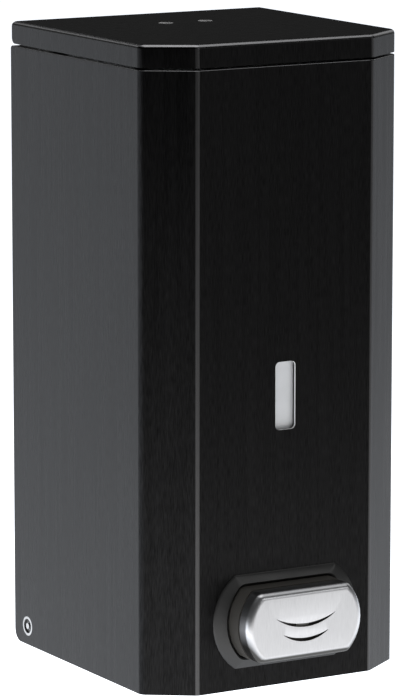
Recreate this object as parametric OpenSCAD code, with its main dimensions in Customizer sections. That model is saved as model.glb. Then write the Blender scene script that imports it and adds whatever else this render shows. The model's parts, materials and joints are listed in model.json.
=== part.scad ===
// Wall mounted soap dispenser with a push button.
// A folded steel cover stands on a folded wall plate, and a hinged lid closes the top.
// Inside are a soap tank, a piston pump and a latch that a two-pronged key releases.
// Millimetres. +X is to the right, +Y points into the wall and +Z is up. The origin is on
// the wall, at the middle of the four wall screws, halfway up the closed dispenser.

/* [Casing] */
// Width across the cover's sides
body_w = 120; // [114:1:150]
// Depth from the wall to the cover's front face
body_d = 122; // [118:1:150]
// Height from the cover's lower edge to the top of the lid
total_h = 264; // [250:1:300]
// Thickness of the cover and lid sheet
sheet = 1; // [0.8:0.1:1.2]
// Corner chamfer, measured across the width
chamfer_x = 19; // [14:0.5:24]
// Corner chamfer, measured into the depth
chamfer_y = 13; // [10:0.5:18]
// Outer radius of the cover's vertical bends
bend_r = 4; // [3:0.1:5]
// Width of the flange that is folded in along the cover's upper edge
top_flange = 10; // [10:0.5:12]

/* [Lid] */
// Height of the lid's edge
lid_h = 9.4; // [9:0.1:11]
// Gap between the lid's edge and the cover
lid_gap = 0.9; // [0.8:0.1:1.5]
// Radius of the lid's upper edge
lid_edge_r = 1.8; // [1.6:0.1:2.4]
// Distance between the two key holes
key_spacing = 18.8; // [17:0.1:20]
// Radius of a key hole
key_hole_r = 2.5; // [2:0.1:2.8]
// How far the latch is drawn back to free the lid
latch_travel = 5.5; // [5.2:0.1:6]

/* [Window] */
// Width of the window slot
window_w = 9.5; // [8:0.5:12]
// Height of the window slot
window_h = 28; // [20:1:40]
// Height of the window's middle above the cover's lower edge
window_up = 119.7; // [100:1:150]

/* [Button and pump] */
// Width of the button cap
button_w = 54.2; // [50:0.1:55]
// Height of the button cap
button_h = 29.1; // [28:0.1:30]
// How far the button stands out of the cover's front face
button_proud = 16.7; // [15:0.1:18]
// Height of the button's middle above the cover's lower edge
button_up = 28.5; // [28:0.1:30]
// How far the button can be pushed in
button_travel = 12; // [10:0.5:12]
// Radius of the pump's bore
pump_r = 6; // [5.9:0.1:6.2]

/* [Wall fixing] */
// Thickness of the wall plate
plate_t = 1.5; // [1.2:0.1:2]
// Distance between the wall holes, left to right
hole_dx = 80; // [70:1:90]
// Distance between the wall holes, bottom to top
hole_dz = 190; // [180:1:200]
// Radius of the wall holes
wall_hole_r = 2.75; // [2.5:0.05:3.5]

/* [Hidden] */
$fn = 64;

// A hair of length that carries a cut past the face it cuts
over = 1;
// Gap that lets one piece slide or turn in another
run_gap = 0.05;

// Casing, as heights above the cover's lower edge
half_w = body_w / 2;
front_y = -body_d;
cover_h = total_h - lid_h - lid_gap;
inner_w = half_w - sheet;
bend_in = bend_r - sheet;
foot_corner_r = 5;
head_corner_r = 1.5;

// Side screws, near the cover's lower rear corners
side_screw_y = -11.2;
side_screw_z = 8;
screw_head_r = 4.1;
screw_r = 1.95;

// Window pane
pane_w = window_w + 6.5;
pane_h = window_h + 7;
pane_t = 1.6;
pane_front = front_y + 2.4;

// Wall plate: back sheet, side flanges and the shelf that closes the bottom
plate_top = cover_h - sheet - 0.2;
plate_flange = 16;
shelf_z = 2;
shelf_top = shelf_z + plate_t;
bead_h = 90;
bead_x = 24;

// Lid hinge, close to the wall
hinge_y = -5.5;
hinge_z = cover_h + lid_gap + lid_h / 2;
pin_r = 1.5;
ear_r = 3.2;
ear_x = 44;
leaf_gap = 0.7;
lid_back = -1;
lid_back_r = 2.5;
lid_floor = total_h - sheet;
pin_half = 50.2;
clip_t = 0.6;

// Latch under the lid
key_y = -41.5;
guide_t = 1;
guide_z = lid_floor - guide_t;
slide_t = 2;
slide_top = guide_z - 0.3;
slide_bot = slide_top - slide_t;
slide_w = 30;
latch_nose_y = front_y + top_flange - latch_travel + 0.5;
latch_leg_y = front_y + top_flange + 1;
latch_spring_z = guide_z - 2.8;
latch_spring_r = 2.3;
spring_y0 = -94;
spring_y1 = -64;

// Button: outline of a flat-topped oval, the same middle for every ring around it
cap_end_r = 20;
cap_corner_r = 3.6;
bezel_gap = 0.5;
bezel_rim = 0.9;
bezel_proud = 1.95;
cap_front = front_y - button_proud;
cap_skirt = 7.2;
cap_edge_r = 2.8;
cap_wall = 1.2;
slit_w = 1.4;
// Each finger slit: half its length, its lowest point above the button's middle, its sag
slits = [[14.4, -1.2, 4.9], [11, -7.2, 3.9]];
slope_depth = 0.3;
core_back = front_y + 6.1;
stop_t = 2;

// Pump, on the button's axis
pump_y = front_y + 45;
gland_front = front_y + 16.5;
pump_front = gland_front + 2.5;
pump_back = pump_y + 15;
bore_back = pump_y + 4;
pump_out_r = pump_r + 3;
pump_screw_at = [for (x = [-16, 16], y = [pump_y - 18.5, pump_y + 17.5]) [x, y, 0]];
gland_r = 10.5;
piston_back = front_y + 29;
pocket_r = gland_r + 0.8;
spring_pocket_r = 9;
pocket_front = gland_front - button_travel - 0.1;
spring_seat = front_y - 9;
rod_r = 3;
seat_z = button_up + 16;
socket_z = seat_z + 2.5;
inlet_top = button_up + 27;
ball_r = 2.5;
seat_hole_r = 1.8;
ball_z = seat_z - sqrt(ball_r * ball_r - seat_hole_r * seat_hole_r) - 0.03;
inlet_ledge = button_up + 8;

// Tank
tank_z = inlet_top + 0.5;
tank_top_z = cover_h - 29.6;
tank_wall = 2;
tank_half = half_w - 10;
tank_front = front_y + 8;
tank_rear = -9;
filler_y = (tank_front + tank_rear) / 2;

// Places a piece drawn with heights above the cover's lower edge
module at_height() {
    translate([0, 0, -total_h / 2]) children();
}

// Draws children on both sides of the middle plane
module both_sides() {
    children();
    mirror([1, 0, 0]) children();
}

// Extrudes an XZ outline between two depths
module along_y(y0, y1) {
    translate([0, y1, 0]) rotate([90, 0, 0]) linear_extrude(y1 - y0) children();
}

// Extrudes a YZ outline between two places across the width
module along_x(x0, x1) {
    translate([x0, 0, 0]) rotate([90, 0, 90]) linear_extrude(x1 - x0) children();
}

// A rod along Y from y0 to y1
module rod_y(r, y0, y1, z) {
    translate([0, y1, z]) rotate([90, 0, 0]) cylinder(r = r, h = y1 - y0);
}

// A rod along X from x0 to x1
module rod_x(r, x0, x1, y, z) {
    translate([x0, y, z]) rotate([0, 90, 0]) cylinder(r = r, h = x1 - x0);
}

// Moves every side of a convex anticlockwise outline inwards by d
function inset(pts, d) = [
    for (i = [0:len(pts) - 1])
        let (
            p = pts[i],
            a = (p - pts[(i + len(pts) - 1) % len(pts)]),
            b = (pts[(i + 1) % len(pts)] - p),
            na = [-a.y, a.x] / norm(a),
            nb = [-b.y, b.x] / norm(b)
        )
        p + (na + nb) * d / (1 + na * nb)
];

// A convex anticlockwise outline whose corners are rounded by r
module rounded_outline(pts, r) {
    centres = inset(pts, r);
    n = len(pts);
    difference() {
        polygon(pts);
        for (i = [0:n - 1]) {
            a = pts[i] - pts[(i + n - 1) % n];
            b = pts[(i + 1) % n] - pts[i];
            c = centres[i];
            difference() {
                polygon([
                    c, c + [a.y, -a.x] / norm(a) * r, pts[i] * 2 - c, c + [b.y, -b.x] / norm(b) * r
                ]);
                translate(c) circle(r = r);
            }
        }
    }
}

// A chamfered plan, seen from above: half width, front, rear and the two chamfer legs
function plan_points(half, front, rear, cx, cy) = [
    [-half, front + cy], [-half + cx, front], [half - cx, front],
    [half, front + cy], [half, rear], [-half, rear]
];

// The casing's plan, d inside its outer face, with its bends rounded by r
module casing_plan(d, r, rear) {
    outer = plan_points(half_w, front_y, rear, chamfer_x, chamfer_y);
    rounded_outline(inset(outer, d), r);
}

// The points of that plan at one height, with five points around each bend
function casing_ring(z, d, r, rear) =
    let (
        centres = inset(plan_points(half_w, front_y, rear, chamfer_x, chamfer_y), d + r),
        n = len(centres)
    )
    [
        for (i = [0:n - 1])
            let (
                a = centres[i] - centres[(i + n - 1) % n],
                b = centres[(i + 1) % n] - centres[i],
                from = atan2(a.y, a.x) - 90,
                turn = (atan2(b.y, b.x) - 90 - from + 720) % 360
            )
            for (k = [0:4])
                let (t = from + turn * k / 4)
                [centres[i].x + r * cos(t), centres[i].y + r * sin(t), z]
    ];

// The points of a flat-topped oval: round ends of radius r and rounded corners
function oval(half, half_height, r, corner) =
    let (
        end_x = half - r,
        reach = asin((half_height - corner) / (r - corner)),
        corner_x = end_x + (r - corner) * cos(reach),
        corner_z = half_height - corner,
        step = (90 - reach) / 4
    )
    [
        for (side = [1, -1]) each [
            for (k = [0:3])
                side * [corner_x + corner * sin(step * k), -corner_z - corner * cos(step * k)],
            for (k = [-6:6])
                side * [end_x + r * cos(reach * k / 6), r * sin(reach * k / 6)],
            for (k = [3:-1:0])
                side * [corner_x + corner * sin(step * k), corner_z + corner * cos(step * k)]
        ]
    ];

// An outline's points, around the button's axis at one depth
function ring_at(y, points) = [for (p = points) [p.x, y, button_up + p.y]];

// The button's outline, grown by d
function button_points(d) = oval(button_w / 2 + d, button_h / 2 + d, cap_end_r + d, cap_corner_r + d);

// A closed skin over rings of equal length, each anticlockwise seen from the last one
module loft(rings) {
    n = len(rings[0]);
    sides = [
        for (i = [0:len(rings) - 2], k = [0:n - 1])
            let (m = (k + 1) % n)
            [i * n + k, (i + 1) * n + k, (i + 1) * n + m, i * n + m]
    ];
    first = [for (k = [0:n - 1]) k];
    last = [for (k = [n - 1:-1:0]) (len(rings) - 1) * n + k];
    polyhedron([for (ring = rings) each ring], concat(sides, [first], [last]), convexity = 4);
}

// A rectangle with rounded corners, about the origin
module rounded_rect(w, h, r) {
    x = w / 2;
    y = h / 2;
    rounded_outline([[-x, -y], [x, -y], [x, y], [-x, y]], r);
}

// The button's outline, grown by d, as a shape
module button_oval(d) {
    polygon(button_points(d));
}

// What a rounding of radius r takes off a rear corner at the origin of YZ. The solid
// lies in front of the corner, and above it, or below it where upper is true.
module corner_waste(r, upper) {
    along_x(-half_w - over, half_w + over)
        mirror([0, upper ? 1 : 0]) mirror([1, 0]) difference() {
            translate([-over, -over]) square(r + over);
            translate([r, r]) circle(r = r);
        }
}

// A coil spring that stands on the origin and rises along Z
module coil_spring(length, mean_r, wire_r, turns) {
    sides = 6;
    steps = 16 * turns;
    rise = length - 2 * wire_r;
    rings = [
        for (i = [0:steps], k = [0:sides - 1])
            let (
                a = 360 * turns * i / steps,
                t = 360 * k / sides,
                r = mean_r + wire_r * cos(t)
            )
            [r * cos(a), r * sin(a), wire_r + rise * i / steps + wire_r * sin(t)]
    ];
    skin = [
        for (i = [0:steps - 1], k = [0:sides - 1])
            let (n = (k + 1) % sides)
            [i * sides + k, (i + 1) * sides + k, (i + 1) * sides + n, i * sides + n]
    ];
    first = [for (k = [0:sides - 1]) k];
    last = [for (k = [sides - 1:-1:0]) steps * sides + k];
    polyhedron(rings, concat(skin, [first], [last]), convexity = 10);
}

// ---- Casing ----

// Folded sheet: back, two side flanges, bottom shelf and two hinge ears
module wall_plate() at_height() color("silver") {
    difference() {
        union() {
            translate([-inner_w, -plate_t, shelf_z])
                cube([2 * inner_w, plate_t, plate_top - shelf_z]);
            both_sides() translate([inner_w - plate_t, -plate_flange, shelf_z])
                cube([plate_t, plate_flange, plate_top - shelf_z]);
            translate([0, 0, shelf_z]) linear_extrude(plate_t)
                casing_plan(sheet + plate_t, 2, -plate_t / 2);
            both_sides() translate([bead_x, 0, 0]) bead(4, plate_t + 1.2);
        }
        both_sides() translate([bead_x, 0, 0]) bead(2.9, 1.3);
        for (x = [-hole_dx / 2, hole_dx / 2], z = [-hole_dz / 2, hole_dz / 2])
            rod_y_at(wall_hole_r, x, total_h / 2 + z);
        both_sides() side_screw_cone(0);
        both_sides() rod_x(screw_r + run_gap, half_w - 6, half_w, side_screw_y, side_screw_z);
        translate([0, pump_y, 0]) cylinder(r = 7.5, h = shelf_top + over);
        for (at = pump_screw_at) translate(at) cylinder(r = 1.6, h = shelf_top + over);
        corner_waste(foot_corner_r, false);
    }
    both_sides() hinge_ear();
}

// A through hole in the wall plate, at a place across the width and a height
module rod_y_at(r, x, z) {
    translate([x, 0, 0]) rod_y(r, -plate_t - over, over, z);
}

// A pressed stiffening bead with round ends, standing out of the wall plate
module bead(r, depth) {
    along_y(-depth, 0) translate([0, total_h / 2]) {
        square([2 * r, bead_h], center = true);
        for (end = [-1, 1]) translate([0, end * bead_h / 2]) circle(r = r);
    }
}

// An ear of the wall plate that holds the hinge pin
module hinge_ear() {
    difference() {
        along_x(ear_x, ear_x + plate_t) {
            polygon([
                [-plate_t / 2, hinge_z - 24], [hinge_y - ear_r, hinge_z - 16],
                [hinge_y - ear_r, hinge_z], [hinge_y + 2.3, hinge_z],
                [hinge_y + 2.3, plate_top - 1], [-plate_t / 2, plate_top - 2.5]
            ]);
            translate([hinge_y, hinge_z]) circle(r = ear_r);
        }
        rod_x(pin_r + run_gap, ear_x - over, ear_x + plate_t + over, hinge_y, hinge_z);
    }
}

// The countersunk cone of a side screw, grown by d
module side_screw_cone(d) {
    translate([half_w, side_screw_y, side_screw_z]) rotate([0, -90, 0])
        cylinder(r1 = screw_head_r + d, r2 = screw_r + d, h = screw_head_r - screw_r);
}

// One folded sheet: front, two chamfers, two sides and a narrow flange around the top
module cover() at_height() color("dimgray") difference() {
    linear_extrude(cover_h) casing_plan(0, bend_r, 20);
    translate([0, 0, -over]) linear_extrude(cover_h + over - sheet)
        casing_plan(sheet, bend_in, 40);
    translate([0, 0, cover_h - 2]) linear_extrude(3) casing_plan(top_flange, 1, 40);
    translate([-half_w - over, 0, -over]) cube([body_w + 2 * over, 60, total_h]);
    corner_waste(foot_corner_r, false);
    translate([0, 0, cover_h]) corner_waste(head_corner_r, true);
    window_slot();
    translate([0, 0, button_up]) along_y(front_y - over, front_y + 2) bezel_sleeve_outline(0.1);
    both_sides() side_screw_cone(0.05);
}

// The slot in the cover's front
module window_slot() {
    translate([0, 0, window_up]) along_y(front_y - over, front_y + 2)
        rounded_rect(window_w, window_h, 2);
}

// Two countersunk security screws: an annular socket around a centre stud
module side_screws() at_height() color("lightgray") both_sides() difference() {
    union() {
        side_screw_cone(0);
        rod_x(screw_r, half_w - 9, half_w - 1.5, side_screw_y, side_screw_z);
    }
    difference() {
        rod_x(3.1, half_w - 0.65, half_w + over, side_screw_y, side_screw_z);
        rod_x(1.3, half_w - 2, half_w + 2, side_screw_y, side_screw_z);
    }
}

// Two weld nuts behind the wall plate's flanges
module side_nuts() at_height() color("gray") both_sides() difference() {
    translate([inner_w - plate_t - 3.2, side_screw_y, side_screw_z]) rotate([0, 90, 0])
        cylinder(r = 4, h = 3.2, $fn = 6);
    rod_x(screw_r + run_gap, half_w - 9, half_w, side_screw_y, side_screw_z);
}

// Milky strip that shows the soap level, a little way behind the slot
module window_pane() at_height() color("lightgray", 0.6) translate([0, 0, window_up])
    along_y(pane_front, pane_front + pane_t) rounded_rect(pane_w, pane_h, 2);

// Frame behind the slot, with a pocket that holds the pane
module window_retainer() at_height() color("black") translate([0, 0, window_up]) difference() {
    along_y(front_y + sheet, pane_front + pane_t) rounded_rect(pane_w + 8, pane_h + 8, 3);
    along_y(pane_front, pane_front + pane_t + over) rounded_rect(pane_w + 0.1, pane_h + 0.1, 2.05);
    along_y(front_y, pane_front + over) rounded_rect(window_w + 0.3, window_h + 0.3, 2.15);
}

// ---- Button ----

// Outline of the sleeve behind the bezel's flange, grown by d
module bezel_sleeve_outline(d) {
    button_oval(bezel_gap + 1.8 + d);
}

// The bezel's outline, shrunk by d, at a height above the cover's front face
function bezel_ring(proud, d) =
    ring_at(front_y - proud, oval(34 - d, 19.4 - d, 23.4 - d, 1.4));

// The button's outline, grown by d past the bezel's hole, at such a height
function bezel_mouth(proud, d) = ring_at(front_y - proud, button_points(bezel_gap + d));

// Moulded surround: a bevelled flange that rises towards a rounded mouth, and a sleeve
// that guides the button
module bezel() at_height() color("black") difference() {
    union() {
        loft([
            bezel_ring(0, 0), bezel_ring(0.3, 0), bezel_ring(bezel_rim, 0.8),
            bezel_mouth(bezel_proud, 0.4)
        ]);
        translate([0, 0, button_up]) along_y(front_y - 0.2, core_back - stop_t - 0.1)
            bezel_sleeve_outline(0);
    }
    translate([0, 0, button_up]) along_y(front_y - 3, front_y + 8) button_oval(bezel_gap);
    loft([
        bezel_mouth(bezel_proud - 1.2, -0.2), bezel_mouth(bezel_proud - 0.45, 0.25),
        bezel_mouth(bezel_proud - 0.05, 0.95), bezel_mouth(bezel_proud + 0.15, 1.6)
    ]);
}

// Push-on ring that clamps the bezel behind the cover's front sheet
module bezel_retainer() at_height() color("black") translate([0, 0, button_up]) difference() {
    along_y(front_y + sheet, front_y + sheet + 1.6) polygon(oval(35, 20.2, 24, 2));
    along_y(front_y, front_y + 4) bezel_sleeve_outline(0.02);
}

// The cap's rounded form, d inside its outer face, back to depth y1
module cap_form(d, y1) {
    r = cap_edge_r - d;
    loft(concat(
        [ring_at(y1, button_points(-d))],
        [
            for (a = [0:15:90])
                ring_at(cap_front + d + r * (1 - sin(a)), button_points(-d - r * (1 - cos(a))))
        ]
    ));
}

// A crescent-shaped slit: round below, as wide as slit_w in the middle, with blunt tips
module slit(half, bottom, sag, depth) {
    low_r = (half * half + sag * sag) / (2 * sag);
    high_sag = sag - slit_w;
    high_r = (half * half + high_sag * high_sag) / (2 * high_sag);
    z0 = button_up + bottom;
    tip = half - 0.5;
    intersection() {
        difference() {
            rod_y(low_r, cap_front - over, cap_front + depth, z0 + low_r);
            rod_y(high_r, cap_front - 2 * over, cap_front + depth + over, z0 + slit_w + high_r);
        }
        along_x(-tip, tip) translate([cap_front - over, z0 - over]) square([depth + over, sag + 2 * over]);
    }
}

// The shallow pressed slope above a slit
module slit_slope(half, bottom, sag, depth) {
    high_sag = sag - slit_w;
    high_r = (half * half + high_sag * high_sag) / (2 * high_sag) + 0.2;
    z0 = button_up + bottom + slit_w;
    tip = half - 1.5;
    intersection() {
        rod_y(high_r, cap_front - over, cap_front + 2, z0 - 0.2 + high_r);
        along_x(-tip, tip) polygon([
            [cap_front - 0.5, z0 + high_sag], [cap_front, z0 + high_sag],
            [cap_front + depth, z0 - 0.2], [cap_front - 0.5, z0 - 0.2]
        ]);
    }
}

// The two finger slits, cut to a depth behind the cap's face
module finger_slits(depth) {
    for (s = slits) slit(s[0], s[1], s[2], depth);
}

// Pressed steel cap over the front of the button
module button_cap() at_height() color("lightgray") difference() {
    cap_form(0, cap_front + cap_skirt);
    cap_form(cap_wall, cap_front + cap_skirt + over);
    for (s = slits) slit_slope(s[0], s[1], s[2], slope_depth);
    finger_slits(cap_wall + 0.3);
}

// Moulded button body: fills the cap, slides in the bezel and carries a stop flange
module button_core() at_height() color("dimgray") difference() {
    union() {
        cap_form(cap_wall, cap_front + cap_skirt);
        translate([0, 0, button_up]) {
            along_y(cap_front + cap_skirt, cap_front + cap_skirt + 1) button_oval(-0.7);
            along_y(cap_front + cap_skirt + 1, core_back) button_oval(0.1);
            along_y(core_back - stop_t, core_back) button_oval(bezel_gap + 1.5);
        }
    }
    rod_y(pocket_r, pocket_front, core_back + over, button_up);
    rod_y(spring_pocket_r, spring_seat, core_back, button_up);
    rod_y(rod_r + run_gap, spring_seat - 5, core_back, button_up);
    finger_slits(cap_wall + 2);
}

// Rod and piston in one piece, with a groove for its seal
module piston_rod() at_height() color("white") {
    rod_y(rod_r, spring_seat - 5, piston_back - 4, button_up);
    difference() {
        rod_y(pump_r - 0.4, piston_back - 4.5, piston_back, button_up);
        difference() {
            rod_y(pump_r + 1, piston_back - 3.3, piston_back - 1.2, button_up);
            rod_y(pump_r - 1.8, piston_back - 3.4, piston_back - 1.1, button_up);
        }
    }
}

// Ring that seals the piston in the bore
module piston_seal() at_height() color("black")
    translate([0, piston_back - 2.25, button_up]) rotate([90, 0, 0])
        rotate_extrude() translate([pump_r - run_gap - 0.85, 0]) circle(r = 0.85);

// Pushes the button out again
module return_spring() at_height() color("gray")
    translate([0, gland_front, button_up]) rotate([90, 0, 0])
        coil_spring(gland_front - spring_seat, 7.9, 0.45, 9);

// ---- Pump ----

// Cylinder with an inlet tower, an outlet boss and two feet
module pump_body() at_height() color("whitesmoke") difference() {
    union() {
        rod_y(pump_out_r, pump_front, pump_back, button_up);
        translate([0, pump_y, button_up]) cylinder(r = 9.5, h = inlet_top - button_up);
        translate([0, pump_y, button_up - 17.5]) cylinder(r = 7, h = 17.5);
        for (y = [pump_y - 20.5, pump_y + 11])
            translate([-14, y, shelf_top]) cube([28, 4, button_up - shelf_top]);
        for (y = [pump_y - 24, pump_y + 11])
            translate([0, y + 6, shelf_top]) linear_extrude(3) rounded_rect(44, 12, 3);
    }
    rod_y(pump_r, pump_front - over, bore_back, button_up);
    translate([0, pump_y, button_up]) {
        cylinder(r = 1.7, h = 20);
        translate([0, 0, 8]) cylinder(r = 3.4, h = 20);
        translate([0, 0, 16]) cylinder(r = 6.7, h = 20);
        translate([0, 0, -14]) cylinder(r = 2, h = 14);
        translate([0, 0, -18.5]) cylinder(r = 5.05, h = 9);
    }
    for (at = pump_screw_at) translate([at.x, at.y, shelf_top - over]) cylinder(r = 1.3, h = 5);
}

// Cap that closes the cylinder's open end, guides the rod and seats the return spring
module pump_gland() at_height() color("dimgray") difference() {
    rod_y(gland_r, gland_front, pump_front + 5.2, button_up);
    rod_y(pump_out_r + 0.02, pump_front, pump_front + 6, button_up);
    rod_y(rod_r + 0.06, gland_front - over, pump_front + 6, button_up);
}

// Four screws from under the shelf
module pump_screws() at_height() color("silver")
    for (at = pump_screw_at) translate(at) difference() {
        union() {
            translate([0, 0, 0.3]) cylinder(r = 2.75, h = shelf_z - 0.3);
            translate([0, 0, shelf_z]) cylinder(r = 1.28, h = 5);
        }
        for (turn = [0, 90]) rotate(turn) translate([-1.5, -0.3, -0.2]) cube([3, 0.6, 1.4]);
    }

// Ring that the inlet ball closes against
module inlet_seat() at_height() color("dimgray") translate([0, pump_y, seat_z]) difference() {
    cylinder(r = 6.65, h = socket_z - seat_z);
    translate([0, 0, -over]) cylinder(r = seat_hole_r, h = 5);
}

// Steel ball that lets soap into the pump and not back
module inlet_ball() at_height() color("silver") translate([0, pump_y, ball_z]) sphere(r = ball_r);

// Holds the ball up against its seat
module inlet_spring() at_height() color("gray") translate([0, pump_y, inlet_ledge]) {
    mean_r = 1.9;
    wire_r = 0.17;
    top_r = mean_r - wire_r;
    coil_spring(ball_z - sqrt(ball_r * ball_r - top_r * top_r) - run_gap - inlet_ledge, mean_r, wire_r, 4);
}

// Rubber duckbill: two lips that open when soap is pushed out
module outlet_valve() at_height() color("gray") translate([0, pump_y, button_up]) difference() {
    union() {
        translate([0, 0, -11.4]) cylinder(r = 5, h = 1.9);
        intersection() {
            translate([0, 0, -16.5]) cylinder(r = 3.4, h = 5.2);
            along_x(-4, 4) polygon([[-0.6, -16.5], [0.6, -16.5], [3.4, -11.3], [-3.4, -11.3]]);
        }
    }
    intersection() {
        translate([0, 0, -15.6]) cylinder(r = 2.2, h = 8);
        along_x(-4, 4) polygon([[-0.15, -15.7], [0.15, -15.7], [2.2, -11.8], [2.2, -9], [-2.2, -9], [-2.2, -11.8]]);
    }
}

// Spout that pushes over the outlet boss, holds the duckbill and drops through the shelf
module nozzle() at_height() color("dimgray") translate([0, pump_y, 0]) rotate_extrude() polygon([
    [7.02, 10.9], [7.02, 17], [8.6, 17], [8.6, 8.6], [7.6, 7.6], [4.8, 7.6], [3.8, 0.6],
    [2.4, 0.6], [2.4, 8], [4, 10.9], [4, 17], [4.9, 17], [4.9, 10.9]
]);

// ---- Soap store ----

// The tank's plan, d inside its outer face
module tank_plan(d, r) {
    outer = plan_points(tank_half, tank_front, tank_rear, 16, 11);
    rounded_outline(inset(outer, d), r);
}

// Open-topped tank with a spigot under its floor
module tank() at_height() color("white", 0.6) difference() {
    union() {
        translate([0, 0, tank_z]) linear_extrude(tank_top_z - tank_z) tank_plan(0, 5);
        translate([0, 0, tank_top_z - 6]) linear_extrude(3) tank_plan(-1.5, 6.5);
        translate([0, pump_y, socket_z + 0.6]) cylinder(r = 6, h = 10);
    }
    translate([0, 0, tank_z + tank_wall]) linear_extrude(total_h) tank_plan(tank_wall, 3);
    translate([0, pump_y, socket_z - over]) cylinder(r = 3.8, h = 20);
    translate([0, pump_y, socket_z + 3.2]) difference() {
        cylinder(r = 8, h = 1.6);
        translate([0, 0, -over]) cylinder(r = 5.2, h = 4);
    }
}

// Snap-on top with a filler collar
module tank_top() at_height() color("white", 0.8) difference() {
    union() {
        translate([0, 0, tank_top_z]) linear_extrude(2.5) tank_plan(0, 5);
        translate([0, 0, tank_top_z - 5]) linear_extrude(5) tank_plan(tank_wall + 0.1, 2.9);
        translate([0, filler_y, tank_top_z]) linear_extrude(10) rounded_rect(72, 56, 14);
    }
    translate([0, 0, tank_top_z - 6]) linear_extrude(6) tank_plan(tank_wall + 1.7, 1.3);
    translate([0, filler_y, tank_top_z - 1]) linear_extrude(20) rounded_rect(68, 52, 12);
}

// Ring around the spigot, inside the pump's inlet tower
module tank_seal() at_height() color("black") translate([0, pump_y, socket_z + 4])
    rotate_extrude() translate([5.95, 0]) circle(r = 0.7);

// Folded bracket that carries the tank above the pump
module tank_bracket() at_height() color("silver") {
    difference() {
        union() {
            translate([0, 0, tank_z - 1.5]) linear_extrude(1.5) tank_plan_shelf();
            translate([-30, tank_front - 1.8, tank_z]) cube([60, 1.5, 7]);
        }
        translate([0, pump_y, 0]) cylinder(r = 11, h = tank_z + over);
    }
    translate([-50, -3, tank_z]) cube([100, 1.5, 24]);
    both_sides() along_x(48.5, 50) polygon([
        [-plate_t, tank_z - 1.5], [-70, tank_z - 1.5], [-70, tank_z - 5], [-plate_t, tank_z - 24]
    ]);
}

// The bracket's shelf, from the wall plate to just in front of the tank
module tank_plan_shelf() {
    outer = plan_points(50, tank_front - 1.8, -plate_t, 17, 12);
    polygon(outer);
}

// ---- Lid ----

// The lid's solid form, d inside its outer face, from the height low up
module lid_form(d, low) {
    r = lid_edge_r - d;
    past = lid_back + 2 * bend_r + lid_edge_r;
    difference() {
        loft(concat(
            [casing_ring(low, d, bend_r - d, past)],
            [
                for (a = [0:15:90])
                    let (in = r * (1 - cos(a)))
                    casing_ring(total_h - d - r * (1 - sin(a)), d + in, bend_r - d - in, past)
            ]
        ));
        translate([-half_w - over, lid_back - d, low - over]) cube([body_w + 2 * over, 30, 30]);
        translate([0, lid_back - d, total_h - d]) corner_waste(lid_back_r - d, true);
    }
}

// Pressed pan with rounded edges and two key holes
module lid() at_height() color("dimgray") difference() {
    lid_form(0, cover_h + lid_gap);
    lid_form(sheet, cover_h - over);
    translate([0, lid_back, cover_h + lid_gap]) corner_waste(lid_back_r, false);
    for (side = [-1, 1])
        translate([side * key_spacing / 2, key_y, total_h - 3]) cylinder(r = key_hole_r, h = 5);
    translate([-half_w + 6, lid_back - 1.2, cover_h]) cube([body_w - 12, 3, hinge_z - cover_h - 1]);
    both_sides() translate([ear_x - 0.9, lid_back - 1.3, cover_h])
        cube([plate_t + 1.5, 3, total_h - 2 - cover_h]);
}

// Strip welded under the lid, with two ears around the hinge pin
module lid_hinge_leaf() at_height() color("silver") difference() {
    union() {
        translate([-48, -24, lid_floor - 1]) cube([96, 24 + hinge_y - ear_r - 0.6, 1]);
        both_sides() along_x(ear_x + plate_t + leaf_gap, ear_x + 2 * plate_t + leaf_gap) {
            translate([hinge_y, hinge_z]) circle(r = ear_r);
            translate([-18, hinge_z - ear_r]) square([18 + hinge_y, lid_floor - 0.5 - hinge_z + ear_r]);
        }
    }
    rod_x(pin_r + run_gap, -half_w, half_w, hinge_y, hinge_z);
}

// Rod through the ears of the wall plate and of the lid's leaf
module hinge_pin() at_height() color("lightgray") difference() {
    rod_x(pin_r, -pin_half, pin_half, hinge_y, hinge_z);
    both_sides() difference() {
        rod_x(pin_r + over, pin_half - 1.8, pin_half - 1.8 + clip_t, hinge_y, hinge_z);
        rod_x(pin_r - 0.4, pin_half - 3, pin_half, hinge_y, hinge_z);
    }
}

// Two retaining rings in the pin's grooves
module hinge_clips() at_height() color("gray") both_sides() difference() {
    rod_x(2.8, pin_half - 1.8, pin_half - 1.8 + clip_t, hinge_y, hinge_z);
    rod_x(pin_r - 0.38, pin_half - 3, pin_half, hinge_y, hinge_z);
    translate([pin_half - 3, hinge_y - 0.9, hinge_z - 4]) cube([3, 1.8, 4]);
}

// Rubber posts under the lid that rest on the cover's flange
module lid_bumpers() at_height() color("black") both_sides() for (y = [-100, -32])
    translate([half_w - 6, y, cover_h]) cylinder(r = 3, h = lid_floor - cover_h);

// ---- Latch ----

// Channel welded under the lid, in which the latch slides
module latch_guide() at_height() color("silver") difference() {
    union() {
        translate([-18, -104, guide_z]) cube([36, 78, guide_t]);
        both_sides() {
            translate([slide_w / 2 + 0.3, -104, slide_bot - 1.3]) cube([1.2, 78, guide_z - slide_bot + 1.3]);
            translate([slide_w / 2 - 2, -104, slide_bot - 1.3]) cube([2.5, 78, 1]);
        }
        translate([-2.8, spring_y1, latch_spring_z - 3]) cube([5.6, 1.5, guide_z - latch_spring_z + 3]);
    }
    for (side = [-1, 1])
        translate([side * key_spacing / 2, key_y, guide_z - over]) cylinder(r = key_hole_r + 0.3, h = 4);
}

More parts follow.
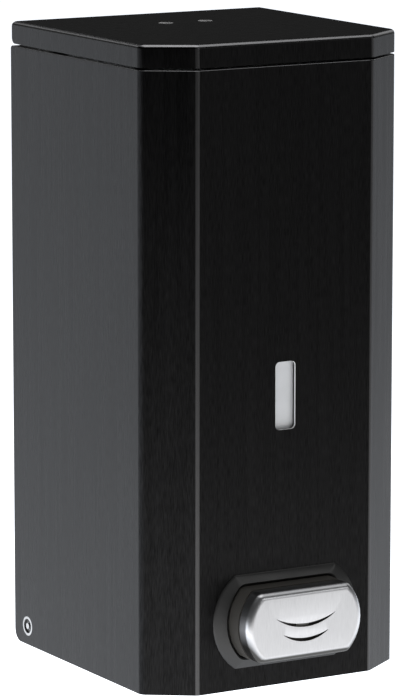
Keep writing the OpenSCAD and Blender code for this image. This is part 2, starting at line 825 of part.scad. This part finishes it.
// Spring-loaded bolt: its nose goes under the cover's flange, and the key's prongs
// push its two sloped tongues to draw it back
module latch_slide() at_height() color("gray") {
    difference() {
        translate([-slide_w / 2, latch_leg_y, slide_bot]) cube([slide_w, -36 - latch_leg_y, slide_t]);
        translate([-3.3, spring_y0, slide_bot - over]) cube([6.6, spring_y1 + 1.6 - spring_y0, 5]);
        for (side = [-1, 1])
            translate([side * key_spacing / 2 - 3.1, key_y - 3.2, slide_bot - over]) cube([6.2, 6, 5]);
    }
    for (side = [-1, 1]) translate([side * key_spacing / 2, 0, 0]) along_x(-3, 3) polygon([
        [key_y + 2.8, slide_top], [key_y + 2.8, slide_bot], [key_y - 2.6, slide_bot - 4],
        [key_y - 3.4, slide_bot - 3]
    ]);
    translate([-3, spring_y0 - 2, latch_spring_z - 3]) cube([6, 2, slide_bot - latch_spring_z + 3]);
    along_x(-8, 8) polygon([
        [latch_leg_y + 2, slide_top], [latch_leg_y, slide_top], [latch_leg_y, cover_h - 1.3],
        [latch_nose_y, cover_h - 1.3], [latch_nose_y, cover_h - 2.6],
        [latch_nose_y + 2.5, cover_h - 4.2], [latch_leg_y + 2, cover_h - 4.2]
    ]);
}

// Pushes the latch forward under the flange
module latch_spring() at_height() color("lightgray")
    translate([0, spring_y1, latch_spring_z]) rotate([90, 0, 0])
        coil_spring(spring_y1 - spring_y0, latch_spring_r, 0.3, 10);

wall_plate();
cover();
side_screws();
side_nuts();
window_pane();
window_retainer();
bezel();
bezel_retainer();
button_cap();
button_core();
piston_rod();
piston_seal();
return_spring();
pump_body();
pump_gland();
pump_screws();
inlet_seat();
inlet_ball();
inlet_spring();
outlet_valve();
nozzle();
tank();
tank_top();
tank_seal();
tank_bracket();
lid();
lid_hinge_leaf();
hinge_pin();
hinge_clips();
latch_guide();
latch_slide();
latch_spring();
lid_bumpers();
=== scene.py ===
"""Looks, studio and camera for the wall mounted soap dispenser."""
import json
import math

import bpy
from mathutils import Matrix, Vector


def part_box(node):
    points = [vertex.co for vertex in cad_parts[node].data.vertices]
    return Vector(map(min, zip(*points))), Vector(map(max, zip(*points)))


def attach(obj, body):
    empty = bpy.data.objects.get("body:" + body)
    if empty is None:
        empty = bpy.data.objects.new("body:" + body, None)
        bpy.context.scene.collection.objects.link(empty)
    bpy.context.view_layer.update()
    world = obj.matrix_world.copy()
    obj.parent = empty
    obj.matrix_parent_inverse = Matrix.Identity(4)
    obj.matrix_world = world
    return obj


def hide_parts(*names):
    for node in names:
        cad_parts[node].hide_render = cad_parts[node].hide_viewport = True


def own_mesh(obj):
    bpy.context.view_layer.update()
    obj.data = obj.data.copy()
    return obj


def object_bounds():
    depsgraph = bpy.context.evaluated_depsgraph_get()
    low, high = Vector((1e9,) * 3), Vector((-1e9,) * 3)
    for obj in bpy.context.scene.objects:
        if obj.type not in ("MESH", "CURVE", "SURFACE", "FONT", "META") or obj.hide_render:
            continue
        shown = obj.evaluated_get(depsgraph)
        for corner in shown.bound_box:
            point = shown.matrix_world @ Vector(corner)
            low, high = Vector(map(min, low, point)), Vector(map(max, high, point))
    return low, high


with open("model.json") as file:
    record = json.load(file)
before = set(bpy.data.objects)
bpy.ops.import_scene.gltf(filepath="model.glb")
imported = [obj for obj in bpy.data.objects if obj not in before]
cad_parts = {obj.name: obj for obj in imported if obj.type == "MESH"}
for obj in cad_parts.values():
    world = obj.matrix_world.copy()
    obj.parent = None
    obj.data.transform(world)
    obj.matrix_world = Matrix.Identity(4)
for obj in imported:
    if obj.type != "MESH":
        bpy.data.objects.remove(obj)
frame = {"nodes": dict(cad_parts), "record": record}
cad_bounds = [list(corner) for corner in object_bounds()]
nodes = frame["nodes"]

MM = 0.001

# ---- Camera ----

CAMERA_AT = Vector((-0.89703, -1.59685, 0.31316))
CAMERA_AZIMUTH = math.radians(-30.21)
CAMERA_ELEVATION = math.radians(10.08)
CAMERA_LENS = 223.55
CAMERA_REACH = 100


def add_camera():
    """A long lens, upright, that looks slightly down at the dispenser from its front left."""
    data = bpy.data.cameras.new("camera")
    data.lens = CAMERA_LENS
    data.clip_end = CAMERA_REACH
    camera = bpy.data.objects.new("camera", data)
    bpy.context.scene.collection.objects.link(camera)
    flat = math.cos(CAMERA_ELEVATION)
    right = -math.sin(CAMERA_AZIMUTH) * flat
    ahead = math.cos(CAMERA_AZIMUTH) * flat
    look = Vector((right, ahead, -math.sin(CAMERA_ELEVATION)))
    camera.location = CAMERA_AT
    camera.rotation_euler = look.to_track_quat("-Z", "Y").to_euler()
    bpy.context.scene.camera = camera


# ---- Material building blocks ----

UPRIGHT = (0, 0, 1)
FRONT_TO_BACK = (0, 1, 0)
# How far a normal's Z has come when the grain starts to turn, and when it has turned.
LEVEL_FROM = (0.65, 0.8)


class Surface:
    """A new node material around one Principled shader, with a few short ways to drive it."""

    def __init__(self, name, color, roughness, metallic=0.0):
        self.material = bpy.data.materials.new(name)
        self.material.use_nodes = True
        self.tree = self.material.node_tree
        self.shader = self.tree.nodes["Principled BSDF"]
        self.color = color
        self.set("Base Color", (*color, 1))
        self.set("Roughness", roughness)
        self.set("Metallic", metallic)

    def set(self, socket, value):
        """Gives one of the shader's sockets a constant value."""
        self.shader.inputs[socket].default_value = value

    def add(self, kind, **inputs):
        """A node of that kind; each input is a value or another node's output."""
        node = self.tree.nodes.new(kind)
        for name, value in inputs.items():
            socket = node.inputs[name.replace("_", " ")]
            if isinstance(value, bpy.types.NodeSocket):
                self.tree.links.new(value, socket)
            else:
                socket.default_value = value
        return node

    def link(self, output, socket):
        """Drives one of the shader's sockets by another node's output."""
        self.tree.links.new(output, self.shader.inputs[socket])

    def noise(self, per_metre, detail=2.0, shift=0.0):
        """Noise over the piece, with that many features per metre along X, Y and Z."""
        place = self.add("ShaderNodeTexCoord").outputs["Object"]
        moved = (shift, shift, shift)
        mapping = self.add("ShaderNodeMapping", Vector=place, Scale=per_metre, Location=moved)
        scaled = mapping.outputs["Vector"]
        noise = self.add("ShaderNodeTexNoise", Vector=scaled, Scale=1.0, Detail=detail)
        return noise.outputs["Fac"]

    def spread(self, value, low, high, start=0.3, end=0.7):
        """The value, which runs from start to end, stretched to run from low to high.

        The usual start and end are about where noise has its own low and high.
        """
        node = self.add("ShaderNodeMapRange")
        self.tree.links.new(value, node.inputs[0])
        for index, number in enumerate((start, end, low, high)):
            node.inputs[index + 1].default_value = number
        return node.outputs[0]

    def fading(self, distance, reach):
        """Falls off with the distance, to a third at each reach."""
        return self.math("EXPONENT", self.multiply(distance, -1 / reach))

    def multiply(self, a, b):
        return self.math("MULTIPLY", a, b)

    def facing_up(self):
        """1 where the piece's own surface is level, 0 where it is upright."""
        return self.spread(self.own_normal()["Z"], 0.0, 1.0, *LEVEL_FROM)

    def blend(self, share, a, b):
        """A share of b and the rest of a, where all three are other nodes' outputs."""
        node = self.tree.nodes.new("ShaderNodeMix")
        self.feed(node, share, None, a, b)
        return node.outputs[0]

    def inside(self, boxes, rounded=False):
        """1 inside any of the boxes, given as (middle, half size), and 0 outside them.

        If rounded, each box holds an ellipsoid, and only the inside of that counts.
        """
        place = self.add("ShaderNodeTexCoord").outputs["Object"]
        total = None
        for middle, half in boxes:
            away = self.vector("SUBTRACT", place, middle)
            share = self.vector("DIVIDE", self.vector("ABSOLUTE", away), half)
            axes = self.add("ShaderNodeSeparateXYZ", Vector=share).outputs
            largest = self.math("MAXIMUM", self.math("MAXIMUM", axes[0], axes[1]), axes[2])
            size = self.math_of("LENGTH", share) if rounded else largest
            hit = self.math("LESS_THAN", size, 1.0)
            total = hit if total is None else self.math("MAXIMUM", total, hit)
        return total

    def vector(self, operation, a, b=None):
        """A vector worked out from one or two vectors."""
        node = self.tree.nodes.new("ShaderNodeVectorMath")
        node.operation = operation
        self.feed(node, a, b)
        return node.outputs["Vector"]

    def math_of(self, operation, vector):
        """A number worked out from a vector, such as its length."""
        node = self.tree.nodes.new("ShaderNodeVectorMath")
        node.operation = operation
        self.feed(node, vector)
        return node.outputs["Value"]

    def math(self, operation, a, b=None):
        """A number worked out from one or two numbers."""
        node = self.tree.nodes.new("ShaderNodeMath")
        node.operation = operation
        self.feed(node, a, b)
        return node.outputs[0]

    def feed(self, node, *values):
        """Each value or other node's output goes into the node's next input; None skips one."""
        for socket, value in zip(node.inputs, values):
            if isinstance(value, bpy.types.NodeSocket):
                self.tree.links.new(value, socket)
            elif value is not None:
                socket.default_value = value

    def own_normal(self):
        """The absolute parts of the piece's own normal along X, Y and Z."""
        normal = self.add("ShaderNodeTexCoord").outputs["Normal"]
        sizes = self.vector("ABSOLUTE", normal)
        return self.add("ShaderNodeSeparateXYZ", Vector=sizes).outputs

    def between(self, value, low, high, soft):
        """1 where the value is between low and high, fading to 0 over soft on either side."""
        rise = self.spread(value, 0.0, 1.0, low - soft, low)
        fall = self.spread(value, 1.0, 0.0, high, high + soft)
        return self.multiply(rise, fall)

    def brush(self, amount):
        """Stretches reflections across the grain.

        The grain runs upright, or front to back on level faces.
        """
        grain = self.color_mix(self.facing_up(), UPRIGHT, FRONT_TO_BACK)
        turned = self.add("ShaderNodeVectorTransform", Vector=grain)
        turned.vector_type = "VECTOR"
        turned.convert_from = "OBJECT"
        turned.convert_to = "WORLD"
        normal = self.add("ShaderNodeNewGeometry").outputs["Normal"]
        self.set("Anisotropic", amount)
        self.link(self.vector("CROSS_PRODUCT", normal, turned.outputs[0]), "Tangent")

    def color_mix(self, share, a, b):
        """A share of colour b and the rest of colour a."""
        mix = self.tree.nodes.new("ShaderNodeMix")
        mix.data_type = "RGBA"
        for name, value in (("A", a), ("B", b)):
            socket = next(one for one in mix.inputs if (one.name, one.type) == (name, "RGBA"))
            if isinstance(value, bpy.types.NodeSocket):
                self.tree.links.new(value, socket)
            else:
                socket.default_value = (*value, 1)
        self.tree.links.new(share, mix.inputs["Factor"])
        return next(one for one in mix.outputs if one.type == "RGBA")

    def tint(self, factor, patches=()):
        """The base colour times a factor that varies over the surface, with patches of others.

        A patch is a mask that is 1 where its colour shows, and that colour.
        """
        node = self.tree.nodes.new("ShaderNodeVectorMath")
        node.operation = "SCALE"
        node.inputs[0].default_value = self.color
        self.tree.links.new(factor, node.inputs["Scale"])
        color = node.outputs["Vector"]
        for mask, patch_color in patches:
            color = self.color_mix(mask, color, patch_color)
        self.link(color, "Base Color")

    def matt(self, mask):
        """Takes the metal sheen off where the mask is 1."""
        self.link(self.math("SUBTRACT", 1.0, mask), "Metallic")

    def bump(self, height, depth):
        """Raises the surface by the height, which runs from 0 to 1, times a depth in metres."""
        node = self.add("ShaderNodeBump", Height=height, Distance=depth, Strength=1.0)
        self.link(node.outputs["Normal"], "Normal")


# ---- Materials ----

BARE_STEEL = (0.57, 0.575, 0.59)
DULL_STEEL = (0.46, 0.46, 0.45)
CUT_STEEL_GLINT = (0.85, 0.85, 0.85)
SCREW_STEEL = (0.33, 0.33, 0.33)
BLACK_STEEL = (0.0125, 0.0125, 0.0128)
SLIT_SHADE = (0.004, 0.004, 0.004)
SOCKET_SHADE = (0.03, 0.03, 0.03)
UNDERSIDE_SHADE = (0.07, 0.068, 0.064)
GLOSS_BLACK = (0.014, 0.014, 0.0137)
MATTE_BLACK = (0.012, 0.012, 0.012)
RUBBER_BLACK = (0.022, 0.022, 0.022)
BROWN_GREY = (0.07, 0.066, 0.06)
SILICONE_GREY = (0.5, 0.51, 0.5)
WHITE = (0.74, 0.74, 0.71)
WINDOW_WHITE = (0.68, 0.69, 0.705)
TANK_WHITE = (0.84, 0.85, 0.82)
PLASTIC_IOR = 1.5

# Features per metre along X, Y and Z.
UPRIGHT_GRAIN = (3000.0, 3000.0, 230.0)
LEVEL_GRAIN = (3000.0, 110.0, 3000.0)
ROLLING_BANDS = (420.0, 420.0, 12.0)
SHEET_CLOUDS = (14.0, 14.0, 14.0)
METAL_CLOUDS = (90.0, 90.0, 90.0)
HANDLING_MARKS = (1800.0, 1800.0, 1800.0)
PLASTIC_CLOUDS = (60.0, 60.0, 60.0)
TOOL_TEXTURE = (1600.0, 1600.0, 1600.0)

# How much lighter than the coat its folds are painted: a painted highlight on the rolled edges and
# bends.
ROLLED_HIGHLIGHT_GAIN = 22.0
BEND_HIGHLIGHT_GAIN = 5.0
# A fold is where a normal's Z (the rolled top edges) or X (the front bends) is between
# the first two numbers. The third is how softly it ends.
ROLLED_EDGE = (0.5, 0.86, 0.14)
FRONT_BEND = (0.14, 0.44, 0.1)

# The painted shade on the cap's underside is full below the first Z of the cap's normal, and gone
# above the second.
UNDERSIDE_SHADE_FROM = (-0.38, -0.04)
SLITS_DEEP = 6 * MM
SLITS_HALF = (16 * MM, 5.2 * MM, 9 * MM)
SOCKET_RING = (1.45 * MM, 3.0 * MM, 0.1 * MM)

KEY_HOLE_ASIDE = 9.4 * MM
KEY_HOLE_Y = -41.5 * MM
KEY_HOLE_RIM = (3.0 * MM, 3.0 * MM, 2.2 * MM)
SLOT_EDGE_DEEP = 0.55 * MM
SLOT_EDGE_HALF = (5 * MM, 0.5 * MM, 14.2 * MM)


def brushed(name, color, roughness, contrast=0.25, stretch=0.85, grain_depth=4e-6):
    """Sheet steel with fine upright brushing, which runs front to back on level faces.

    Returns the surface and the factor that its grain gives the colour.
    """
    metal = Surface(name, color, roughness, metallic=1.0)
    metal.set("Specular Tint", (0.9, 0.9, 0.9, 1))
    upright = metal.noise(UPRIGHT_GRAIN, detail=3.0)
    level = metal.spread(metal.noise(LEVEL_GRAIN, detail=3.0), 0.44, 0.56)
    streaks = metal.blend(metal.facing_up(), upright, level)
    bands = metal.noise(ROLLING_BANDS, shift=3.0)
    clouds = metal.noise(SHEET_CLOUDS, detail=3.0, shift=7.0)
    broad = 0.2 * contrast
    bands = metal.spread(bands, 1 - broad, 1 + broad)
    grain = metal.multiply(metal.spread(streaks, 1 - contrast, 1 + contrast), bands)
    metal.link(metal.multiply(bands, roughness), "Roughness")
    metal.bump(streaks, grain_depth)
    metal.brush(stretch)
    return metal, metal.multiply(grain, metal.spread(clouds, 0.96, 1.04))


def black_sheet(name, bare_glint_places, rounded=False):
    """Black coated brushed steel, painted lighter on its folds as a highlight and bare in the bare
    places.

    A bare place is a cut edge of bare steel inside a box or, if rounded, inside the ellipsoid that
    fills it; it is painted matt and light, a painted highlight.
    """
    metal, grain = brushed(name, BLACK_STEEL, 0.28, contrast=0.4)
    normal = metal.own_normal()
    # Painted highlight: the rolled top edges and the front bends are coloured lighter than the
    # coat.
    rolled = metal.multiply(metal.between(normal["Z"], *ROLLED_EDGE), ROLLED_HIGHLIGHT_GAIN)
    bends = metal.multiply(metal.between(normal["X"], *FRONT_BEND), BEND_HIGHLIGHT_GAIN)
    fold_highlight = metal.math("MAXIMUM", rolled, bends)
    # Bare cut steel, painted matt and light as a highlight on the key hole rims and the window
    # slot's edges.
    bare = metal.inside(bare_glint_places, rounded)
    metal.tint(metal.math("ADD", grain, fold_highlight), [(bare, CUT_STEEL_GLINT)])
    metal.matt(bare)
    return metal.material


def cap_steel(name):
    """Satin brushed steel, with painted shade along its underside and inside the finger slits."""
    metal, grain = brushed(name, BARE_STEEL, 0.33, contrast=0.05, stretch=0.5, grain_depth=1e-6)
    low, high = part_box("button_cap")
    middle = (low + high) / 2
    # Painted shade: the walls inside the finger slits are coloured near black.
    slits = [((0, low.y + SLITS_DEEP, middle.z), SLITS_HALF)]
    normal = metal.add("ShaderNodeTexCoord").outputs["Normal"]
    upward = metal.add("ShaderNodeSeparateXYZ", Vector=normal).outputs["Z"]
    # Painted shade: the cap's underside is coloured darker, full where its normal points down.
    below = metal.spread(upward, 1.0, 0.0, *UNDERSIDE_SHADE_FROM)
    metal.tint(grain, [(below, UNDERSIDE_SHADE), (metal.inside(slits), SLIT_SHADE)])
    return metal.material


def screw_steel(name):
    """Bright steel, with painted shade in the ring-shaped sockets of the side screws."""
    metal, clouds = plain_metal(name, SCREW_STEEL, 0.3)
    low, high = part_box("side_screws")
    place = metal.add("ShaderNodeTexCoord").outputs["Object"]
    away = metal.vector("SUBTRACT", place, (0, (low.y + high.y) / 2, (low.z + high.z) / 2))
    across = metal.math_of("LENGTH", metal.vector("MULTIPLY", away, (0, 1, 1)))
    # Painted shade: a dark ring where the sockets are.
    metal.tint(clouds, [(metal.between(across, *SOCKET_RING), SOCKET_SHADE)])
    return metal.material


def bare_sheet(name):
    """Dull brushed steel without a coat, as on the wall plate."""
    metal, grain = brushed(name, DULL_STEEL, 0.4, contrast=0.08, stretch=0.5, grain_depth=1e-6)
    metal.tint(grain)
    return metal.material


def bright_metal(name):
    """Bright turned or drawn steel."""
    metal, clouds = plain_metal(name, BARE_STEEL, 0.24)
    metal.tint(clouds)
    return metal.material


def plain_metal(name, color, roughness):
    """Steel without brushing, with a faint cloudiness and fine handling marks.

    Returns the surface and the factor that its clouds give the colour.
    """
    metal = Surface(name, color, roughness, metallic=1.0)
    clouds = metal.noise(METAL_CLOUDS, detail=4.0)
    marks = metal.noise(HANDLING_MARKS, shift=5.0)
    metal.link(metal.multiply(metal.spread(clouds, 1.25, 0.85), roughness), "Roughness")
    metal.bump(marks, 4e-6)
    return metal, metal.spread(clouds, 0.88, 1.08)


def moulded(name, color, roughness, texture_depth=6e-6):
    """Moulded plastic or rubber: a fine tool texture, and gloss that varies a little."""
    plastic = Surface(name, color, roughness)
    plastic.set("IOR", PLASTIC_IOR)
    texture = plastic.noise(TOOL_TEXTURE, detail=3.0)
    clouds = plastic.noise(PLASTIC_CLOUDS, detail=3.0, shift=4.0)
    plastic.tint(plastic.spread(clouds, 0.93, 1.07))
    plastic.link(plastic.multiply(plastic.spread(clouds, 1.15, 0.88), roughness), "Roughness")
    plastic.bump(texture, texture_depth)
    return plastic.material


def milky(name, color, roughness, through):
    """Translucent moulded plastic, which lets that share of the light through."""
    material = moulded(name, color, roughness, texture_depth=2e-6)
    shader = material.node_tree.nodes["Principled BSDF"]
    shader.inputs["Transmission Weight"].default_value = through
    return material


def make_materials():
    """The materials by name: one for each slot of the record, and three pieces' own."""
    window_low, window_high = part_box("window_pane")
    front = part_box("cover")[0].y
    lid_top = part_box("lid")[1].z
    slot_middle = (0, front + SLOT_EDGE_DEEP, (window_low.z + window_high.z) / 2)
    hole_middles = [(side * KEY_HOLE_ASIDE, KEY_HOLE_Y, lid_top) for side in (-1, 1)]
    key_holes = [(middle, KEY_HOLE_RIM) for middle in hole_middles]
    makers = {
        "cover_steel": lambda name: black_sheet(name, [(slot_middle, SLOT_EDGE_HALF)]),
        "lid_steel": lambda name: black_sheet(name, key_holes, rounded=True),
        "screw_steel": screw_steel,
        "cap_steel": cap_steel,
        "bare_steel": bare_sheet,
        "bright_steel": bright_metal,
        "gloss_black": lambda name: moulded(name, GLOSS_BLACK, 0.32, texture_depth=1e-6),
        "matte_black": lambda name: moulded(name, MATTE_BLACK, 0.55),
        "grey_plastic": lambda name: moulded(name, BROWN_GREY, 0.32),
        "white_plastic": lambda name: moulded(name, WHITE, 0.4),
        "level_window": lambda name: milky(name, WINDOW_WHITE, 0.2, through=0.05),
        "tank_plastic": lambda name: milky(name, TANK_WHITE, 0.4, through=0.35),
        "rubber": lambda name: moulded(name, RUBBER_BLACK, 0.75, texture_depth=1.2e-5),
        "silicone": lambda name: moulded(name, SILICONE_GREY, 0.5),
    }
    return {name: make(name) for name, make in makers.items()}


# ---- Pieces ----

WELD_REACH = 2e-6
TRUE_EDGE_ANGLE = math.radians(33)
LARGE_FACES_FIRST = 100
FOLD_RADIUS = 0.4 * MM
FOLD_SEGMENTS = 4


def finish_nodes(materials):
    """Gives each CAD node its material, and smooth shading that stops at true edges."""
    own = {"cover": "cover_steel", "lid": "lid_steel", "side_screws": "screw_steel"}
    for part in frame["record"]["subparts"]:
        name = part["node"]
        piece = nodes[name]
        piece.data.materials.clear()
        piece.data.materials.append(materials[own.get(name, part["material_slot"])])
        piece.data.attributes.remove(piece.data.attributes["custom_normal"])
        piece.data.shade_smooth()
        weld = piece.modifiers.new("weld", "WELD")
        weld.merge_threshold = WELD_REACH
        if name == "cover":
            round_fold(piece)
        split = piece.modifiers.new("true_edges", "EDGE_SPLIT")
        split.split_angle = TRUE_EDGE_ANGLE
        weighted = piece.modifiers.new("even_faces", "WEIGHTED_NORMAL")
        weighted.keep_sharp = True
        weighted.weight = LARGE_FACES_FIRST


def shorten_springs():
    """A copy of each CAD spring, attached to the body that holds it, stands for the CAD spring,
    which is hidden.
    """
    record = frame["record"]
    bodies = record["behaviour"]["bodies"]
    for joint in record["behaviour"]["joints"]:
        for entry in joint.get("deforming_nodes", []):
            name = entry["node"]
            letter = entry["mode"][-1]
            along = "xyz".index(letter)
            axis, anchor = Vector(), Vector()
            axis[along] = 1
            anchor[along] = entry[f"fixed_end_{letter}_m"]
            coil = bpy.data.objects.new(name + "_coil", nodes[name].data.copy())
            bpy.context.scene.collection.objects.link(coil)
            body = next(body for body, members in bodies.items() if name in members)
            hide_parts(name)
            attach(coil, body)
            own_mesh(coil)


def round_fold(piece):
    """Rounds the outer edge of the piece's top, where its sheet is folded over.

    The faces of the mesh don't share vertices, so edges are known by where their ends are.
    """
    mesh = piece.data
    low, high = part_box(piece.name)
    middle = (low + high) / 2

    def place(index):
        return tuple(round(value / MM, 2) for value in mesh.vertices[index].co)

    def at_top(pair):
        return all(high.z - mesh.vertices[index].co.z < 0.01 * MM for index in pair)

    folds = set()
    for face in mesh.polygons:
        away = face.center - middle
        outward = face.normal.x * away.x + face.normal.y * away.y > 0
        if outward and abs(face.normal.z) < 0.1:
            folds.update(frozenset(map(place, pair)) for pair in face.edge_keys if at_top(pair))
    weights = mesh.attributes.new("bevel_weight_edge", "FLOAT", "EDGE")
    for edge in mesh.edges:
        weights.data[edge.index].value = float(frozenset(map(place, edge.vertices)) in folds)
    fold = piece.modifiers.new("fold", "BEVEL")
    fold.limit_method = "WEIGHT"
    fold.width = FOLD_RADIUS
    fold.segments = FOLD_SEGMENTS
    fold.use_clamp_overlap = False


# ---- Studio ----

FLOOR_LEVEL = cad_bounds[0][2] - 0.3
FLOOR_HALF = 14.0
FLOOR_CORNERS = ((-1, -1), (1, -1), (1, 1), (-1, 1))
COOL_LIGHT = (0.95, 0.985, 1.04)
PLAIN_LIGHT = (1.0, 0.99, 0.98)

# The floor's brightness at two places, and then the two places, in metres to the right.
# The last, a painted shadow under the dispenser, is a factor on the brightness, and its places are
# distances from the dispenser.
BESIDE = (1.55, 1.1, -0.6, 0.6)
CLOSE_AHEAD = (4.6, 3.1, -0.5, 0.5)
FAR_AHEAD = (0.05, 0.3, -1.0, 1.5)
UNDERNEATH = (0.4, 1.0, 0.2, 0.9)
# The front part of the floor takes over between these places, from 1 in front to 0 behind.
IN_FRONT = (1.0, 0.0, -1.0, -0.3)
GLOW_BEHIND = 1.9
GLOW_REACH = 1.2
AHEAD_REACH = 1.25

WORLD_LIGHT = 0.045
TARGET = (0, -0.06, 0)
ABOVE_RIGHT = (0.35, -0.45)
ABOVE_LEFT = (-0.3, -0.25)
# Name, place, aim, width, height and brightness of each soft light.
SOFTBOXES = (
    ("top_light", (*ABOVE_RIGHT, FLOOR_LEVEL + 1.35), (*ABOVE_RIGHT, FLOOR_LEVEL), 1.5, 1.0, 0.65),
    ("overhead", (*ABOVE_LEFT, FLOOR_LEVEL + 1.6), (*ABOVE_LEFT, FLOOR_LEVEL), 1.2, 1.2, 0.75),
    ("front_strip", (0.95, -2.85, -0.1), TARGET, 0.9, 1.6, 0.4),
    ("front_high", (1.1, -2.2, 0.6), TARGET, 1.6, 0.7, 1.4),
    ("back_high", (-0.85, 1.6, 0.6), TARGET, 1.1, 1.2, 0.6),
    ("right_high", (1.9, 0.75, 0.7), TARGET, 1.0, 1.3, 0.8),
)


def add_floor():
    """A wide pale glowing floor below the dispenser.

    Its glow is painted light: bright behind and beside the dispenser, and more close behind it. In
    front it fades with distance, and right under the dispenser it is dimmer, a painted shadow.
    """
    mesh = bpy.data.meshes.new("floor")
    corners = [(x * FLOOR_HALF, y * FLOOR_HALF, FLOOR_LEVEL) for x, y in FLOOR_CORNERS]
    mesh.from_pydata(corners, [], [(0, 1, 2, 3)])
    floor = bpy.data.objects.new("floor", mesh)
    bpy.context.scene.collection.objects.link(floor)
    paper = Surface("floor_paper", (0.8, 0.8, 0.8), 0.9)
    spot = paper.add("ShaderNodeTexCoord").outputs["Object"]
    place = paper.vector("MULTIPLY", spot, (1, 1, 0))
    away = paper.math_of("LENGTH", place)
    axes = paper.add("ShaderNodeSeparateXYZ", Vector=place).outputs
    in_front = paper.spread(axes["Y"], *IN_FRONT)
    beside = paper.spread(axes["X"], *BESIDE)
    behind = paper.math("ADD", paper.multiply(paper.fading(away, GLOW_REACH), GLOW_BEHIND), beside)
    close = paper.multiply(paper.fading(away, AHEAD_REACH), paper.spread(axes["X"], *CLOSE_AHEAD))
    ahead = paper.math("MAXIMUM", close, paper.spread(axes["X"], *FAR_AHEAD))
    even = paper.blend(in_front, behind, ahead)
    # Painted shadow: the floor's glow is dimmer right under the dispenser.
    brightness = paper.multiply(even, paper.spread(away, *UNDERNEATH))
    paper.link(brightness, "Emission Strength")
    paper.link(paper.color_mix(in_front, COOL_LIGHT, PLAIN_LIGHT), "Emission Color")
    floor.data.materials.append(paper.material)


def add_softbox(name, at, towards, width, height, strength):
    """A rectangular soft light. The strength is the brightness of its face."""
    data = bpy.data.lights.new(name, "AREA")
    data.shape = "RECTANGLE"
    data.size = width
    data.size_y = height
    data.energy = strength * width * height * math.pi
    light = bpy.data.objects.new(name, data)
    bpy.context.scene.collection.objects.link(light)
    light.location = at
    light.rotation_euler = (Vector(towards) - Vector(at)).to_track_quat("-Z", "Y").to_euler()
    light.visible_camera = False


def add_world():
    """A dim, even surround beyond the floor and above it."""
    world = bpy.data.worlds.new("studio")
    world.use_nodes = True
    background = world.node_tree.nodes["Background"]
    background.inputs["Color"].default_value = (1, 1, 1, 1)
    background.inputs["Strength"].default_value = WORLD_LIGHT
    bpy.context.scene.world = world


def add_studio():
    """The floor, the surround and the soft lights."""
    add_floor()
    add_world()
    for softbox in SOFTBOXES:
        add_softbox(*softbox)


add_camera()
finish_nodes(make_materials())
shorten_springs()
add_studio()
bpy.context.scene.view_settings.view_transform = "Standard"
